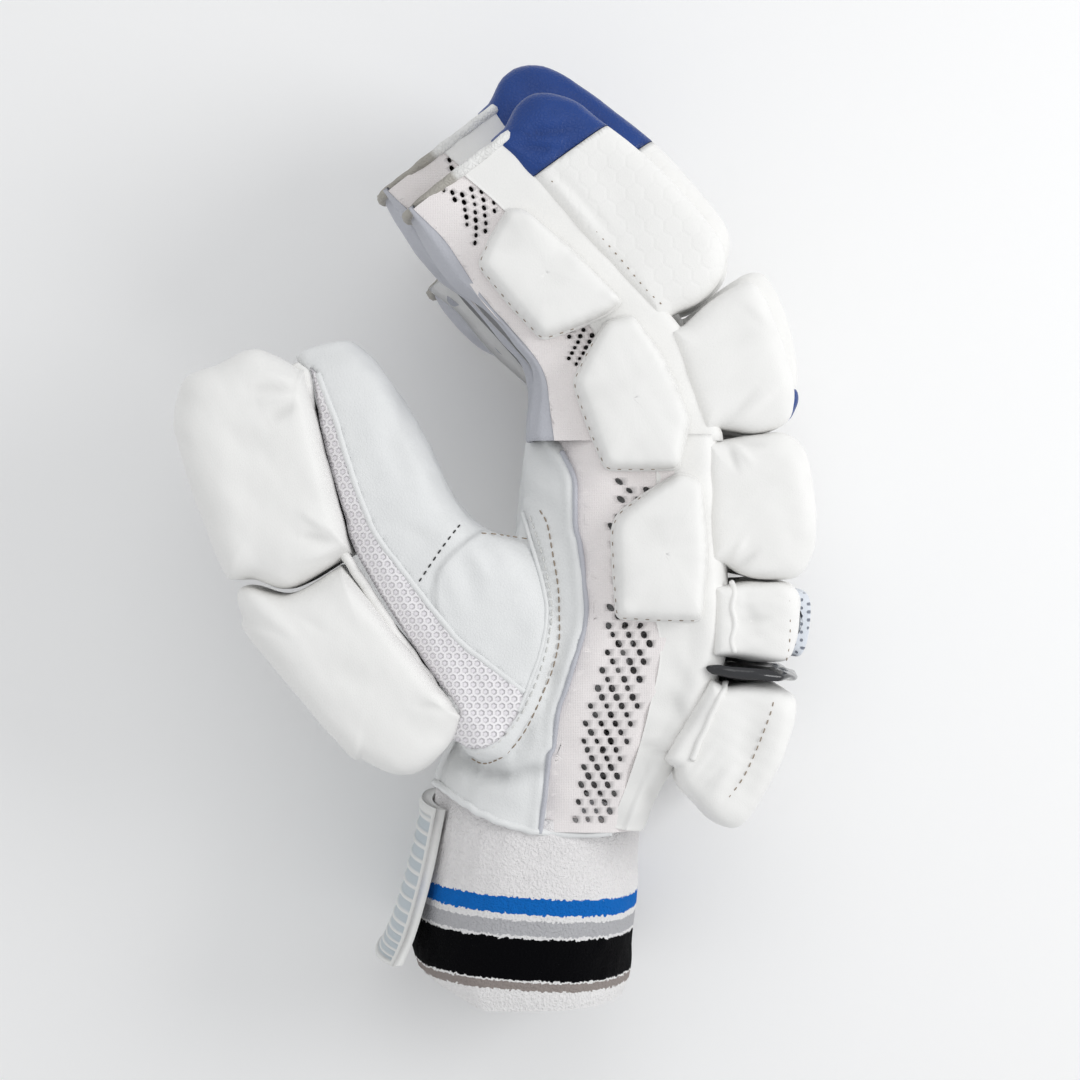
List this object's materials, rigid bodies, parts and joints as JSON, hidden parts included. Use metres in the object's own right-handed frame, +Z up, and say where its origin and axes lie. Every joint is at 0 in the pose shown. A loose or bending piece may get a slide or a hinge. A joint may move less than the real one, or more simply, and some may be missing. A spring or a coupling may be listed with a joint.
{
  "type": "cricket batting glove",
  "caption": "Right-hand padded batting glove with hollow leather fingers and thumb, segmented back pads, side bolsters, perforated knit gussets, a striped knit cuff and a wrist strap end.",
  "frame": {"origin": "on the floor under the middle of the glove, which lies on its little finger side", "axes": "+X from the thumb to the back of the hand, +Y from the cuff to the fingertips, +Z up from the little finger to the index finger"},
  "size_m": [0.1878, 0.2847, 0.1222],
  "materials": {
    "white_leather": "smooth white leather with a fine grain",
    "palm_leather": "soft cool white leather",
    "blue_leather": "blue leather, slightly glossy",
    "gusset_knit": "perforated cotton knit",
    "thumb_mesh": "hexagonal air mesh",
    "cuff_knit": "towelling knit with blue, grey and black stripes",
    "black_piping": "shiny black coated piping",
    "strap_rubber": "moulded satin rubber"
  },
  "bodies": {
    "root": {"index_palm_leather": "palm_leather", "index_gusset": "gusset_knit", "index_back_leather": "white_leather", "index_tip": "palm_leather", "index_pad_tip": "white_leather", "index_blue_cap": "blue_leather", "index_pad_middle": "white_leather", "index_pad_knuckle": "white_leather", "middle_palm_leather": "palm_leather", "middle_gusset": "gusset_knit", "middle_back_leather": "white_leather", "middle_tip": "palm_leather", "middle_pad_tip": "white_leather", "middle_blue_cap": "blue_leather", "middle_pad_middle": "white_leather", "middle_blue_band": "blue_leather", "middle_pad_knuckle": "white_leather", "ring_palm_leather": "palm_leather", "ring_gusset": "gusset_knit", "ring_back_leather": "white_leather", "ring_tip": "palm_leather", "ring_pad_tip": "white_leather", "ring_blue_cap": "blue_leather", "ring_pad_middle": "white_leather", "ring_pad_knuckle": "white_leather", "little_palm_leather": "palm_leather", "little_gusset": "gusset_knit", "little_back_leather": "white_leather", "little_tip": "palm_leather", "little_pad_tip": "white_leather", "little_blue_cap": "blue_leather", "little_pad_middle": "white_leather", "little_pad_knuckle": "white_leather", "hand_palm_leather": "palm_leather", "hand_index_gusset": "gusset_knit", "hand_little_gusset": "gusset_knit", "hand_back_leather": "white_leather", "hand_pad_upper": "white_leather", "vent_panel": "white_leather", "piping_roll": "black_piping", "hand_pad_lower": "white_leather", "index_side_pad_tip": "white_leather", "index_side_pad_middle": "white_leather", "index_side_pad_knuckle": "white_leather", "little_side_pad_tip": "white_leather", "little_side_pad_middle": "white_leather", "little_side_pad_knuckle": "white_leather", "thumb_leather": "palm_leather", "thumb_mesh": "thumb_mesh", "thumb_binding": "white_leather", "thumb_pad_upper": "white_leather", "thumb_pad_lower": "white_leather", "wrist_cuff": "cuff_knit", "wrist_tab": "strap_rubber"}
  },
  "joints": []
}
